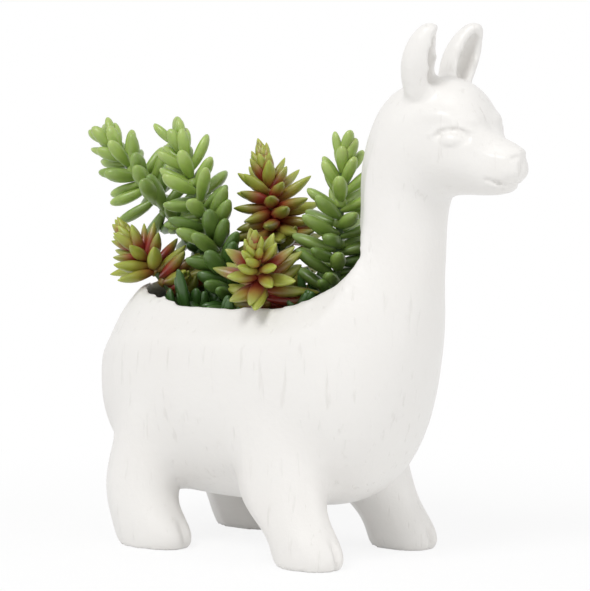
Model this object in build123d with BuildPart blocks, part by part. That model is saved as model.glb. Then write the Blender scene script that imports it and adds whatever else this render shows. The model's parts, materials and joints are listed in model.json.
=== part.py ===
"""Ceramic llama planter with an arrangement of artificial succulents.

The llama is one slip-cast shell, hollow from the rump to the top of the neck, with an
oval opening in its back. A shaped block of floral foam stands in the hollow, and six
moulded plants are pushed into it. Each plant is a straight stem with leaf whorls
threaded on it. All sizes are in millimetres. The llama faces +X and stands on Z = 0.
"""
from build123d import *
import os
from math import cos, hypot, radians, sin, sqrt

os.makedirs("parts", exist_ok=True)

# Llama, overall sizes that the outline shares follow
body_length = 166.0
body_height = 215.0
body_width = 79.0
wall = 4.0
cut_overrun = 3.0

# Rump: a rounded end on the last upright section of the trunk
rump_reach = 48.5
rump_drop = 4.5
rump_angles = (0, 20, 38, 54, 68, 80, 87)

# Side outline from trunk to nose: back or crown line (x, z), belly or throat line (x, z)
# and half width. x is a share of body_length, z of body_height, the width of body_width.
trunk_shares = (
    (-0.229, 0.533, -0.229, 0.088, 0.485),
    (-0.060, 0.537, -0.060, 0.086, 0.500),
    (0.096, 0.544, 0.096, 0.090, 0.494),
)
chest_shares = (
    (0.193, 0.560, 0.211, 0.098, 0.478),
    (0.232, 0.570, 0.298, 0.128, 0.453),
    (0.253, 0.582, 0.367, 0.191, 0.413),
    (0.264, 0.593, 0.416, 0.284, 0.362),
    (0.269, 0.605, 0.449, 0.400, 0.304),
    (0.272, 0.616, 0.464, 0.502, 0.253),
)
neck_shares = (
    (0.273, 0.630, 0.473, 0.577, 0.227),
    (0.273, 0.660, 0.480, 0.633, 0.218),
)
head_shares = (
    (0.272, 0.707, 0.490, 0.664, 0.216),
    (0.293, 0.783, 0.503, 0.673, 0.220),
    (0.350, 0.855, 0.523, 0.678, 0.224),
    (0.452, 0.887, 0.548, 0.680, 0.223),
    (0.536, 0.887, 0.575, 0.681, 0.210),
    (0.593, 0.856, 0.605, 0.681, 0.180),
    (0.625, 0.806, 0.630, 0.682, 0.142),
    (0.654, 0.785, 0.658, 0.685, 0.114),
    (0.681, 0.777, 0.682, 0.693, 0.099),
    (0.700, 0.769, 0.699, 0.704, 0.078),
    (0.708, 0.766, 0.707, 0.714, 0.056),
    (0.712, 0.756, 0.711, 0.728, 0.029),
)

# Opening from the rump to the back of the neck: its rear half in plan, as x from its rear end
# and half width in shares of opening_length and opening_width, and straight sides from there
opening_length = 121.0
opening_width = 53.2
opening_rear_x = -64.0
opening_floor_z = 80.0
opening_shares = (
    (0.000, 0.000),
    (0.023, 0.190),
    (0.090, 0.362),
    (0.220, 0.462),
    (0.430, 0.500),
)
# Plan that the leaves keep to in front of it, inside the walls
clear_front_shares = (
    (0.640, 0.500),
    (0.780, 0.440),
    (0.860, 0.360),
    (0.900, 0.000),
)
# Notch where the opening runs up to the neck, in side view: x from its rear end and z above
# the floor, from the side walls' edge round its tip and up to the back of the neck
notch_rear_x = 28.0
notch_length = 26.5
notch_height = 57.0
notch_shares = (
    (0.00, 0.35),
    (0.30, 0.45),
    (0.63, 0.53),
    (0.90, 0.64),
    (1.00, 0.74),
    (0.93, 0.82),
    (0.78, 0.88),
    (0.55, 0.95),
    (0.30, 1.00),
)

# Legs: centre x, centre y and the half sizes of the level sections, from the sole up
foot_spacing_length = 79.0
foot_spacing_width = 61.6
leg_height = 78.0
foot_length = 30.0
foot_width = 21.0
# height as a share of leg_height; x and y shift, half length and half width as shares
# of foot_length, foot_length, foot_length and foot_width
front_leg_shares = (
    (0.000, -0.020, 0.000, 0.460, 0.476),
    (0.045, -0.020, 0.000, 0.520, 0.533),
    (0.115, -0.083, 0.007, 0.520, 0.562),
    (0.244, -0.345, 0.033, 0.570, 0.590),
    (0.385, -0.530, 0.073, 0.640, 0.610),
    (0.615, -0.670, 0.140, 0.720, 0.620),
    (0.846, -0.750, 0.193, 0.720, 0.619),
    (1.000, -0.790, 0.293, 0.600, 0.571),
)
hind_leg_shares = (
    (0.000, -0.060, 0.000, 0.550, 0.476),
    (0.045, -0.060, 0.000, 0.610, 0.533),
    (0.115, -0.133, 0.007, 0.600, 0.571),
    (0.244, -0.300, 0.033, 0.533, 0.600),
    (0.385, -0.350, 0.087, 0.517, 0.600),
    (0.615, -0.217, 0.173, 0.533, 0.600),
    (0.846, -0.017, 0.227, 0.500, 0.571),
    (1.000, 0.117, 0.360, 0.400, 0.476),
)

# Ears
ear_height = 31.5
ear_width = 14.0
ear_thickness = 15.0
ear_shell = 3.4
ear_hollow_shift = 5.6
ear_spacing = 18.0
ear_base_x = 78.0
ear_base_z = 182.0
ear_lean_angle = 6.0
ear_splay_angle = 14.0
ear_turn_angle = 17.0
# height as a share of ear_height, forward shift as a share of ear_height, and width and
# thickness as shares of ear_width and ear_thickness
ear_shares = (
    (0.00, 0.00, 0.66, 0.84),
    (0.22, -0.02, 0.90, 0.96),
    (0.45, -0.01, 1.00, 1.00),
    (0.68, 0.03, 0.94, 0.90),
    (0.86, 0.09, 0.70, 0.68),
    (0.96, 0.14, 0.42, 0.44),
    (0.99, 0.16, 0.18, 0.20),
)

# Face and toes: ovals that are cut into the head and feet or stand out from them. Centre x,
# y and z as shares of body_length, body_width and body_height, length, thickness, turn in
# plan and slope of the length in degrees, and whether the oval is cut away
head_ovals = (
    ((0.5780, 0.2130, 0.7880), 21.0, 8.0, 28.0, 0.0, True),
    ((0.5740, 0.1740, 0.7800), 10.5, 6.4, 24.0, 0.0, False),
    ((0.7090, 0.0560, 0.7510), 7.0, 2.6, 62.0, 0.0, True),
    ((0.6740, 0.0800, 0.7060), 15.0, 2.2, 38.0, -8.0, True),
)
toe_oval_length = 13.0
toe_oval_thickness = 2.6
toe_slope_angle = 68.0
toe_reach_shares = (0.47, 0.52)

# Foam block
foam_length = 96.0
foam_width = 47.0
foam_centre_x = -11.0
foam_edge = 11.0
foam_top_z = 88.0
seat_gap = 0.3

# Plants: six stems, each with leaf whorls threaded on it
stem_radius = 1.5
stem_clearance = 0.05
stem_point = 0.8
insertion_depth = 26.0
collar_radius = 2.6
collar_height = 3.4
collar_clearance = 0.05
leaf_gap = 0.5
leaf_seat_radius = 1.9
bud_base_height = 1.2
leaf_root_share = 0.17
leaf_belly_share = 0.62
pointed_slope = 0.9
trimmed_shares = (1.0, 0.9, 0.8, 0.7, 0.6, 0.5)
# how far a plant is drawn out where its leaves are tried, as shares of insertion_depth
pull_shares = (0, 0.15, 0.35, 0.6, 1)
# place along the leaf and half width there, as shares of its length and its width
leaf_probe_shares = (
    (0.15, 0.28),
    (0.32, 0.42),
    (0.48, 0.49),
    (0.62, 0.50),
    (0.76, 0.46),
    (0.90, 0.30),
    (1.00, 0.02),
)

# Each pair holds a value for the top whorl and one for the fullest whorl below it
bare_foot = 11.0
full_whorl_index = 6
green_spacing = 8.2
green_leaf_lengths = (11.0, 15.5)
green_leaf_widths = (5.2, 7.0)
green_tilts = (34, 66)
green_counts = (4, 5)
green_twist = 45
red_whorls = 6
red_spacing = 5.9
red_leaf_lengths = (10.0, 20.0)
red_leaf_widths = (4.2, 6.0)
red_tilts = (20, 106)
red_counts = (4, 9)
red_twist = 22

# Plan of the neck and head, which the leaves stay clear of
neck_centre_x = 62.3
neck_half_depth = 17.5
neck_half_width = 17.5

# Each plant: foot of the stem as shares of half the foam's length and width, and the
# stem's run in x, y and z from there to its end as shares of plant_rise
plant_rise = 82.0
plant_shares = {
    "long_green": (-0.16, 0.36, -1.00, 0.00, 0.90),
    "middle_green": (-0.10, -0.10, -0.44, 0.00, 0.91),
    "neck_green": (0.76, 0.10, 0.03, 0.04, 0.86),
    "left_red": (-0.58, -0.20, -0.40, -0.10, 0.44),
    "back_red": (0.20, 0.58, -0.26, 0.04, 0.82),
    "front_red": (0.30, -0.36, 0.16, -0.34, 0.46),
}


def upright_or_tilted(back, belly):
    """Plane of a section whose x direction runs from the back line to the belly line."""
    dx, dz = belly[0] - back[0], belly[1] - back[1]
    centre = ((back[0] + belly[0]) / 2, 0, (back[1] + belly[1]) / 2)
    return Plane(origin=centre, x_dir=(dx, 0, dz), z_dir=(-dz, 0, dx))


def outline_rings(shares, inset):
    """Section planes with their two radii, drawn in by the wall where inset isn't zero."""
    rings = []
    for back_x, back_z, belly_x, belly_z, half in shares:
        back = (back_x * body_length, back_z * body_height)
        belly = (belly_x * body_length, belly_z * body_height)
        half_depth = hypot(belly[0] - back[0], belly[1] - back[1]) / 2
        rings.append((upright_or_tilted(back, belly), half_depth - inset, half * body_width - inset))
    return rings


def rump_rings(inset):
    """Ellipses that shrink as on a rounded end, from the trunk's first section backwards."""
    plane, half_depth, half_width = outline_rings(trunk_shares[:1], inset)[0]
    rings = []
    for angle in rump_angles:
        share = sin(radians(angle))
        shrink = cos(radians(angle))
        origin = plane.origin - Vector((rump_reach - inset) * share, 0, rump_drop * share**2)
        rings.append((Plane(origin, x_dir=plane.x_dir, z_dir=plane.z_dir), half_depth * shrink, half_width * shrink))
    return rings[::-1]


def ring_face(plane, long_radius, wide_radius):
    """Ellipse drawn as two smooth halves that meet at its sides, so that lofts stay untwisted."""
    with BuildSketch(plane, mode=Mode.PRIVATE) as ring:
        with BuildLine():
            for side in (1, -1):
                turns = [radians(side * 90 - 90 + 30 * step) for step in range(7)]
                half = [(-long_radius * sin(turn), wide_radius * cos(turn)) for turn in turns]
                Spline(*half, tangents=[(-side, 0), (side, 0)])
        make_face()
    return ring.sketch.face()


def loft_rings(rings):
    """One smooth solid through elliptical sections."""
    loft(sections=[ring_face(*ring) for ring in rings])


def leg_rings(shares, side_x, side_y):
    """Level sections of a leg from the sole up to where it ends inside the trunk."""
    rings = []
    for height, shift_x, shift_y, half_long, half_wide in shares:
        x = side_x * foot_spacing_length / 2 + shift_x * foot_length
        y = side_y * (foot_spacing_width / 2 - shift_y * foot_length)
        plane = Plane(origin=(x, y, height * leg_height), x_dir=(1, 0, 0), z_dir=(0, 0, 1))
        rings.append((plane, half_long * foot_length, half_wide * foot_width))
    return rings


def ear_rings(shares, inset, forward_shift):
    """Level sections of an ear that curves forward, in the ear's own frame."""
    rings = []
    for height, forward, wide, thick in shares:
        origin = (forward * ear_height + forward_shift, 0, height * ear_height)
        plane = Plane(origin=origin, x_dir=(1, 0, 0), z_dir=(0, 0, 1))
        rings.append((plane, thick * ear_thickness / 2, wide * ear_width / 2 - inset))
    return rings


def ear_place(side):
    """The ear leans forward and outward, and its hollow turns inward."""
    foot = Pos(ear_base_x, side * ear_spacing / 2, ear_base_z)
    return foot * Rot(0, ear_lean_angle, 0) * Rot(-side * ear_splay_angle, 0, 0) * Rot(0, 0, -side * ear_turn_angle)


def long_oval(length, thickness):
    """Ellipse turned about its own length, which lies along X."""
    with BuildPart() as oval:
        with BuildSketch():
            Ellipse(length / 2, thickness / 2)
            split(bisect_by=Plane.XZ)
        revolve(axis=Axis.X)
    return oval.part


def leaf_solid(length, width, pointed):
    """Plump leaf turned about its own axis, from its narrow root to its tip."""
    tip_tangent = (-1, pointed_slope) if pointed else (-1, 0)
    with BuildPart() as leaf:
        with BuildSketch(Plane.XZ):
            with BuildLine():
                Line((0, 0), (leaf_root_share * width, 0))
                Spline(
                    (leaf_root_share * width, 0),
                    (width / 2, leaf_belly_share * length),
                    (0, length),
                    tangents=[(1, 2), tip_tangent],
                )
                Line((0, length), (0, 0))
            make_face()
        revolve(axis=Axis.Z)
    return leaf.part


def stem_frame(shares):
    """Plane at the foam's top whose normal runs up the stem, and the stem's length above it."""
    foot_x, foot_y, run_x, run_y, rise = shares
    foot = (foam_centre_x + foot_x * foam_length / 2, foot_y * foam_width / 2, foam_top_z)
    return Plane(origin=foot, z_dir=(run_x, run_y, rise)), plant_rise * hypot(run_x, run_y, rise)


def distance_to_stem(point, line):
    """Distance from a point to the endless line of a stem, given as a foot and a unit run."""
    foot, run = line
    apart = [here - there for here, there in zip(point, foot)]
    along = sum(a * b for a, b in zip(apart, run))
    return hypot(*(a - along * b for a, b in zip(apart, run)))


def stem_line(frame):
    """Foot and unit run of a stem as plain numbers."""
    return tuple(frame.origin), tuple(frame.z_dir)


def between(ends, share):
    """Value part of the way from the first of two ends to the second."""
    return ends[0] + (ends[1] - ends[0]) * share


def trunk_section_at(x, room):
    """Centre height and two radii at x of the trunk, its rounded end moved back by room."""
    first_x, centre_z, half_depth, half_width = trunk_rows[0]
    behind = (first_x - x) / (rump_reach + room)
    if behind >= 1 or x >= trunk_rows[-1][0]:
        return None
    if behind > 0:
        shrink = sqrt(1 - behind**2)
        return centre_z - rump_drop * behind**2, half_depth * shrink, half_width * shrink
    for low, high in zip(trunk_rows, trunk_rows[1:]):
        if low[0] <= x <= high[0]:
            return [between(ends, (x - low[0]) / (high[0] - low[0])) for ends in zip(low[1:], high[1:])]


def mouth_half_width_at(x):
    """Half width of the opening at x, and zero beyond its ends."""
    along = (x - opening_rear_x) / opening_length
    plan = opening_shares + clear_front_shares
    for low, high in zip(plan, plan[1:]):
        if low[0] <= along <= high[0]:
            return between((low[1], high[1]), (along - low[0]) / (high[0] - low[0])) * opening_width
    return 0


def clears_llama_while_drawn(point, room, run):
    """True where the point clears the llama at rest and as its plant is drawn out along the stem."""
    pulls = [insertion_depth * share for share in pull_shares]
    return all(clears_llama([here + pull * way for here, way in zip(point, run)], room) for pull in pulls)


def clears_llama(point, room):
    """True where a ball of radius room at the point stays off the back, the lip and the neck."""
    x, y, z = point
    if hypot((x - neck_centre_x) / (neck_half_depth + room), y / (neck_half_width + room)) < 1:
        return False
    section_here = trunk_section_at(x, room)
    if section_here is None:
        return True
    centre_z, half_depth, half_width = section_here
    outside = hypot((z - centre_z) / (half_depth + room), y / (half_width + room)) > 1
    return outside or all(abs(y) < mouth_half_width_at(x + side * room) - room for side in (1, -1))


def clears_stems(point, room, own, others):
    """True where the point, with its room, is nearer to its own stem than to any other."""
    own_distance = distance_to_stem(point, own)
    return all(distance_to_stem(point, other) - own_distance > 2 * room + leaf_gap for other in others)


def fitting_share(place, length, width, own, others):
    """Largest of a few shares of its size at which a leaf keeps clear of the llama and of other plants."""
    root = tuple(place.position)
    heading = tuple(Plane(place).z_dir)
    for share in trimmed_shares:
        samples = [(along * length * share, width * share * half) for along, half in leaf_probe_shares]
        points = [([start + reach * way for start, way in zip(root, heading)], room) for reach, room in samples]
        if all(
            point[2] - room > foam_top_z + leaf_gap
            and clears_llama_while_drawn(point, room + leaf_gap, own[1])
            and clears_stems(point, room, own, others)
            for point, room in points
        ):
            return share
    return None


def leaf_whorl(frame, others, height, turn, leaves, pointed, bud):
    """Collar threaded on the stem, with its ring of leaves and, on the last one, a bud."""
    own = stem_line(frame)
    count, tilt, length, width = leaves
    with BuildPart() as whorl:
        with BuildSketch(frame.offset(height - collar_height / 2)):
            Circle(collar_radius)
        extrude(amount=collar_height + (bud_base_height if bud else 0))
        for index in range(count):
            place = (
                frame.location
                * Pos(0, 0, height)
                * Rot(0, 0, turn + index * 360 / count)
                * Pos(leaf_seat_radius, 0, 0)
                * Rot(0, tilt, 0)
            )
            share = fitting_share(place, length, width, own, others)
            if share is not None:
                add(place * leaf_solid(length * share, width * share, pointed))
        with BuildSketch(frame.offset(height - width)):
            Circle(stem_radius + collar_clearance)
        extrude(amount=width + (collar_height / 2 if bud else width), mode=Mode.SUBTRACT)
        if bud:
            add(frame.location * Pos(0, 0, height + collar_height / 2) * leaf_solid(length, width, pointed))
    return whorl.part


outline_shares = trunk_shares[1:] + chest_shares + neck_shares
legs = [
    (shares, side_x, side_y)
    for shares, side_x in ((front_leg_shares, 1), (hind_leg_shares, -1))
    for side_y in (1, -1)
]

trunk_rings = outline_rings(trunk_shares + chest_shares, 0)
trunk_rows = [(plane.origin.X, plane.origin.Z, long, wide) for plane, long, wide in trunk_rings]
frames = {name: stem_frame(shares) for name, shares in plant_shares.items()}

with BuildPart() as ear:
    loft_rings(ear_rings(ear_shares, 0, 0))
with BuildPart() as ear_hollow:
    loft_rings(ear_rings(ear_shares[1:-2], ear_shell, ear_hollow_shift))

with BuildPart() as hollow:
    loft_rings(rump_rings(wall) + outline_rings(outline_shares, wall))

with BuildPart() as opening_cut:
    front_x = opening_rear_x + opening_length
    with BuildSketch(Plane.XY.offset(opening_floor_z)):
        with BuildLine():
            ends = []
            for side in (1, -1):
                edge = [
                    (opening_rear_x + along * opening_length, side * half * opening_width)
                    for along, half in opening_shares
                ]
                Spline(*edge, tangents=[(0, side), (1, 0)])
                Line(edge[-1], (front_x, edge[-1][1]))
                ends.append((front_x, edge[-1][1]))
            Line(*ends)
        make_face()
    extrude(amount=notch_height)
    notch = [
        (notch_rear_x + along * notch_length, opening_floor_z + rise * notch_height)
        for along, rise in notch_shares
    ]
    with BuildSketch(Plane.XZ):
        with BuildLine():
            Spline(*notch)
            Polyline(
                notch[-1],
                (opening_rear_x, notch[-1][1]),
                (opening_rear_x, opening_floor_z),
                (notch_rear_x, opening_floor_z),
                notch[0],
            )
        make_face()
    extrude(amount=opening_width, both=True, mode=Mode.INTERSECT)

with BuildPart() as ceramic_body:
    loft_rings(rump_rings(0) + outline_rings(outline_shares + head_shares, 0))
    for leg in legs:
        loft_rings(leg_rings(*leg))
    for side in (1, -1):
        add(ear_place(side) * ear.part)
        add(ear_place(side) * ear_hollow.part, mode=Mode.SUBTRACT)
    add(hollow.part, mode=Mode.SUBTRACT)
    add(opening_cut.part, mode=Mode.SUBTRACT)
    for share, length, thickness, turn, slope, cut in head_ovals:
        for side in (1, -1):
            centre = Pos(share[0] * body_length, side * share[1] * body_width, share[2] * body_height)
            oval = centre * Rot(0, 0, -side * turn) * Rot(0, slope, 0) * long_oval(length, thickness)
            add(oval, mode=Mode.SUBTRACT if cut else Mode.ADD)
    for (shares, side_x, side_y), reach in zip(legs, (*toe_reach_shares[:1] * 2, *toe_reach_shares[1:] * 2)):
        foot = (side_x * foot_spacing_length / 2 + reach * foot_length, side_y * foot_spacing_width / 2, 0)
        add(Pos(*foot) * Rot(0, toe_slope_angle, 0) * long_oval(toe_oval_length, toe_oval_thickness), mode=Mode.SUBTRACT)


# The foam stands on the hollow's sloping sides with the lower edges of its bevel
trunk_plane, hollow_half_depth, hollow_half_width = outline_rings(trunk_shares[:1], wall)[0]
sole_share = (foam_width / 2 - foam_edge) / hollow_half_width
foam_floor_z = trunk_plane.origin.Z - hollow_half_depth * sqrt(1 - sole_share**2) + seat_gap

with BuildPart() as foam_block:
    with BuildSketch(Plane.XY.offset(foam_floor_z)):
        with Locations((foam_centre_x, 0)):
            Ellipse(foam_length / 2, foam_width / 2)
    extrude(amount=foam_top_z - foam_floor_z)
    chamfer(foam_block.edges().group_by(Axis.Z)[0], foam_edge)
    for frame, rise in frames.values():
        with BuildSketch(frame.offset(-insertion_depth - seat_gap)):
            Circle(stem_radius + stem_clearance)
        extrude(amount=insertion_depth + seat_gap + cut_overrun, mode=Mode.SUBTRACT)

pieces = {"ceramic_body": ceramic_body.part, "foam_block": foam_block.part}

for name, (frame, rise) in frames.items():
    others = [stem_line(other) for other_name, (other, other_rise) in frames.items() if other_name != name]
    green = name.endswith("green")
    spacing = green_spacing if green else red_spacing
    whorls = int((rise - bare_foot) / spacing) if green else red_whorls
    fullest = full_whorl_index if green else red_whorls - 1
    top = rise - collar_height / 2
    with BuildPart() as stem:
        with BuildSketch(frame.offset(-insertion_depth)):
            Circle(stem_radius)
        extrude(amount=insertion_depth + rise - collar_clearance)
        chamfer(stem.edges().group_by(Axis(frame.origin, frame.z_dir))[0], stem_point)
    pieces[name + "_stem"] = stem.part
    for index in range(whorls):
        share = min(1, index / fullest)
        leaves = (
            round(between(green_counts if green else red_counts, share)),
            between(green_tilts if green else red_tilts, share),
            between(green_leaf_lengths if green else red_leaf_lengths, share),
            between(green_leaf_widths if green else red_leaf_widths, share),
        )
        turn = index * (green_twist if green else red_twist)
        height = top - index * spacing
        piece = leaf_whorl(frame, others, height, turn, leaves, not green, index == 0)
        pieces[name + "_whorl_" + str(index + 1)] = piece

boxes = [piece.bounding_box() for piece in pieces.values()]
centre_x = (min(box.min.X for box in boxes) + max(box.max.X for box in boxes)) / 2
centre_y = (min(box.min.Y for box in boxes) + max(box.max.Y for box in boxes)) / 2
for name, piece in pieces.items():
    placed = Pos(-centre_x, -centre_y, 0) * piece
    placed.label = name
    export_step(placed, "parts/" + name + ".step")
    print(name, round(placed.volume, 1), placed.is_valid, len(placed.solids()))
print("origin moved to x and y of", round(centre_x, 3), round(centre_y, 3))
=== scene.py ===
"""Looks of a glazed llama planter that holds six moulded succulents in floral foam.

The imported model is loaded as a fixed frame. The glazed shell is sculpted from its solid, each
whorl of leaves is worked out on a grid of two parameters, and each piece rides on its body.
Lengths in the formulas are millimetres in the llama's own frame, whose origin is under the
middle of its four feet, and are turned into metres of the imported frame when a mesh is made.
"""

import functools
import json
import math

import bmesh
import bpy
import numpy as np
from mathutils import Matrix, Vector


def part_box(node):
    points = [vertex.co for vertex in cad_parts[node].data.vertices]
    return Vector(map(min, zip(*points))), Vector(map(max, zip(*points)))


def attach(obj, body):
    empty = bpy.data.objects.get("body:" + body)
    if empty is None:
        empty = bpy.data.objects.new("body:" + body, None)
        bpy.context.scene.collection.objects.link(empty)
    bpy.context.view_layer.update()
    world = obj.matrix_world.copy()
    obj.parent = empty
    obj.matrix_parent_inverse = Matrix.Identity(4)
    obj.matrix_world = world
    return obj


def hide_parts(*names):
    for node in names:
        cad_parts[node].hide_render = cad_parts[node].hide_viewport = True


bl_info = {
    "name": "Llama Planter",
    "version": (1, 0, 0),
    "blender": (4, 5, 0),
    "location": "View3D > Sidebar > Planter",
    "description": "Glazed llama planter with moulded succulents in foam",
    "category": "Add Mesh",
}

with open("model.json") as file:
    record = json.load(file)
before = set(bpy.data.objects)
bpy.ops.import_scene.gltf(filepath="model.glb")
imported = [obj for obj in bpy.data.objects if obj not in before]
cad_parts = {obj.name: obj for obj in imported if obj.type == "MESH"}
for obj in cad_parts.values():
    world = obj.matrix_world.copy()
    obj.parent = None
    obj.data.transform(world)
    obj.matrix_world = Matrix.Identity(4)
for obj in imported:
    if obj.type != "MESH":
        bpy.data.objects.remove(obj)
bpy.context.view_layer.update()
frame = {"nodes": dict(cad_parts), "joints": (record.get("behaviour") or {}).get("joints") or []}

MILLIMETRE = 0.001
PULL_SUFFIX = "_pull"
FOAM_CENTRE_X = -11.0
FOAM_BOX = [np.array(corner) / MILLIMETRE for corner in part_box("foam_block")]
ORIGIN = np.array([FOAM_BOX[0][0] + FOAM_BOX[1][0], FOAM_BOX[0][1] + FOAM_BOX[1][1], 0.0]) / 2
ORIGIN[0] -= FOAM_CENTRE_X
FOAM_TOP = FOAM_BOX[1][2]

# Room inside the pot's mouth, in plan: x and half width, and the neck in front of it
MOUTH = np.array([
    (-64.0, 0.0), (-61.2, 10.1), (-53.1, 19.3), (-37.4, 24.6), (-12.0, 26.6), (13.4, 26.6), (30.4, 23.4),
    (40.1, 19.2), (44.9, 0.0),
])
NECK_CENTRE_X = 62.3
NECK_RADIUS = 17.5
# Trunk sections from the rump's root to the chest: x, centre height, half depth, half width
TRUNK_SECTIONS = np.array([
    (-38.0, 66.7, 47.8, 38.3),
    (-10.0, 67.0, 48.5, 39.5),
    (16.0, 68.2, 48.9, 39.0),
    (33.5, 70.7, 49.7, 37.8),
    (44.0, 75.0, 47.9, 35.8),
    (51.5, 83.0, 43.1, 32.6),
])
RUMP_REACH = 48.5
RUMP_DROP = 4.5
STEM_RADIUS = 1.5
COLLAR_RADIUS = 2.6
COLLAR_HEIGHT = 3.4
COLLAR_PLAY = 0.12
INSERTION = 26.0


def to_frame(points):
    """Millimetres in the llama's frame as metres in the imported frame."""
    return (points + ORIGIN) * MILLIMETRE


def from_frame(points):
    """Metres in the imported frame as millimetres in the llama's frame."""
    return points / MILLIMETRE - ORIGIN


def smoothstep(low, high, value):
    """0 below low, 1 above high, with the cubic 3t^2 - 2t^3 between them."""
    t = np.clip((value - low) / (high - low), 0, 1)
    return t * t * (3 - 2 * t)


def unit(vector):
    return vector / np.linalg.norm(vector)


def read_points(mesh):
    """Vertex places of a mesh as an array, in millimetres of the llama's frame."""
    flat = np.empty(len(mesh.vertices) * 3, np.float32)
    mesh.vertices.foreach_get("co", flat)
    return from_frame(flat.reshape(-1, 3).astype(float))


def write_points(mesh, points):
    mesh.vertices.foreach_set("co", to_frame(points).astype(np.float32).ravel())
    mesh.update()


def add_object(name, mesh, material):
    piece = bpy.data.objects.new(name, mesh)
    bpy.context.scene.collection.objects.link(piece)
    mesh.materials.append(material)
    mesh.shade_smooth()
    return piece


def grid_faces(count, along, around):
    """Quads of count closed tubes of along by around points, and fans at their two poles.

    Point (k, i, j) has index k*(along*around+2) + i*around + j, and the two poles of tube k
    follow its grid. Quads run (i, j), (i, j+1), (i+1, j+1), (i+1, j).
    """
    i, j = np.meshgrid(np.arange(along - 1), np.arange(around), indexing="ij")
    after = (j + 1) % around
    quads = np.stack(
        [i * around + j, i * around + after, (i + 1) * around + after, (i + 1) * around + j], -1
    ).reshape(-1, 4)
    ring = np.arange(around)
    ring_after = (ring + 1) % around
    last = (along - 1) * around
    start = np.full(around, along * around)
    end = start + 1
    fans = np.concatenate([
        np.stack([ring_after, ring, start], -1),
        np.stack([last + ring, last + ring_after, end], -1),
    ])
    step = (along * around + 2) * np.arange(count)[:, None, None]
    return (quads[None] + step).reshape(-1, 4), (fans[None] + step).reshape(-1, 3)


def mesh_from_arrays(name, points, quads, triangles, attributes):
    """Mesh of the given points and faces, with one float attribute per named array."""
    mesh = bpy.data.meshes.new(name)
    mesh.from_pydata(to_frame(points).tolist(), [], quads.tolist() + triangles.tolist())
    for key, values in attributes.items():
        layer = mesh.attributes.new(key, "FLOAT", "POINT")
        layer.data.foreach_set("value", values.astype(np.float32).ravel())
    mesh.update()
    return mesh


# Materials


def new_material(name):
    material = bpy.data.materials.new(name)
    material.use_nodes = True
    nodes = material.node_tree.nodes
    return material, nodes, material.node_tree.links, nodes["Principled BSDF"]


def add_node(nodes, kind, inputs=(), **settings):
    """New shader node with its settings, and then the values of its inputs, by name or number."""
    node = nodes.new("ShaderNode" + kind)
    for key, value in settings.items():
        setattr(node, key, value)
    for label, value in dict(inputs).items():
        node.inputs[label].default_value = value
    return node


def join(links, *pairs):
    for start, end in pairs:
        links.new(start, end)


def set_inputs(shader, values):
    for label, value in values.items():
        shader.inputs[label].default_value = value


def group_with_sockets(name, inputs, outputs):
    """Empty shader group with named inputs (name, type, default) and outputs (name, type)."""
    group = bpy.data.node_groups.new(name, "ShaderNodeTree")
    for label, kind, default in inputs:
        socket = group.interface.new_socket(label, in_out="INPUT", socket_type=kind)
        socket.default_value = default
    for label, kind in outputs:
        group.interface.new_socket(label, in_out="OUTPUT", socket_type=kind)
    return group, group.nodes.new("NodeGroupInput"), group.nodes.new("NodeGroupOutput")


def mottle_group():
    """Mixes a second colour into the first in soft cloudy patches of object-space noise."""
    group, source, sink = group_with_sockets(
        "cloudy_mottle",
        [("Base", "NodeSocketColor", (1, 1, 1, 1)), ("Patch", "NodeSocketColor", (0, 0, 0, 1)),
         ("Scale", "NodeSocketFloat", 60.0), ("Amount", "NodeSocketFloat", 0.5)],
        [("Color", "NodeSocketColor"), ("Mask", "NodeSocketFloat")],
    )
    nodes = group.nodes
    place = add_node(nodes, "TexCoord")
    noise = add_node(nodes, "TexNoise", {"Detail": 4.0})
    spread = add_node(nodes, "MapRange", {"From Min": 0.38, "From Max": 0.68})
    times = add_node(nodes, "Math", operation="MULTIPLY")
    mix = add_node(nodes, "Mix", data_type="RGBA")
    join(
        group.links,
        (place.outputs["Object"], noise.inputs["Vector"]),
        (source.outputs["Scale"], noise.inputs["Scale"]),
        (noise.outputs["Fac"], spread.inputs["Value"]),
        (spread.outputs["Result"], times.inputs[0]),
        (source.outputs["Amount"], times.inputs[1]),
        (times.outputs["Value"], mix.inputs["Factor"]),
        (source.outputs["Base"], mix.inputs["A"]),
        (source.outputs["Patch"], mix.inputs["B"]),
        (mix.outputs["Result"], sink.inputs["Color"]),
        (spread.outputs["Result"], sink.inputs["Mask"]),
    )
    return group


def grain_group():
    """Height of a fine moulded grain, from object-space noise of three octaves."""
    group, source, sink = group_with_sockets(
        "fine_grain", [("Scale", "NodeSocketFloat", 900.0)], [("Height", "NodeSocketFloat")]
    )
    place = add_node(group.nodes, "TexCoord")
    noise = add_node(group.nodes, "TexNoise", {"Detail": 3.0, "Roughness": 0.6})
    join(
        group.links,
        (place.outputs["Object"], noise.inputs["Vector"]),
        (source.outputs["Scale"], noise.inputs["Scale"]),
        (noise.outputs["Fac"], sink.inputs["Height"]),
    )
    return group


def place_group(nodes, key, **values):
    """One of the shared groups in a material, with the given values at its inputs."""
    node = nodes.new("ShaderNodeGroup")
    node.node_tree = shared_group(key)
    set_inputs(node, values)
    return node


def add_bump(nodes, links, shader, height, strength, distance):
    bump = add_node(nodes, "Bump", {"Strength": strength, "Distance": distance})
    join(links, (height, bump.inputs["Height"]), (bump.outputs["Normal"], shader.inputs["Normal"]))


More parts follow.
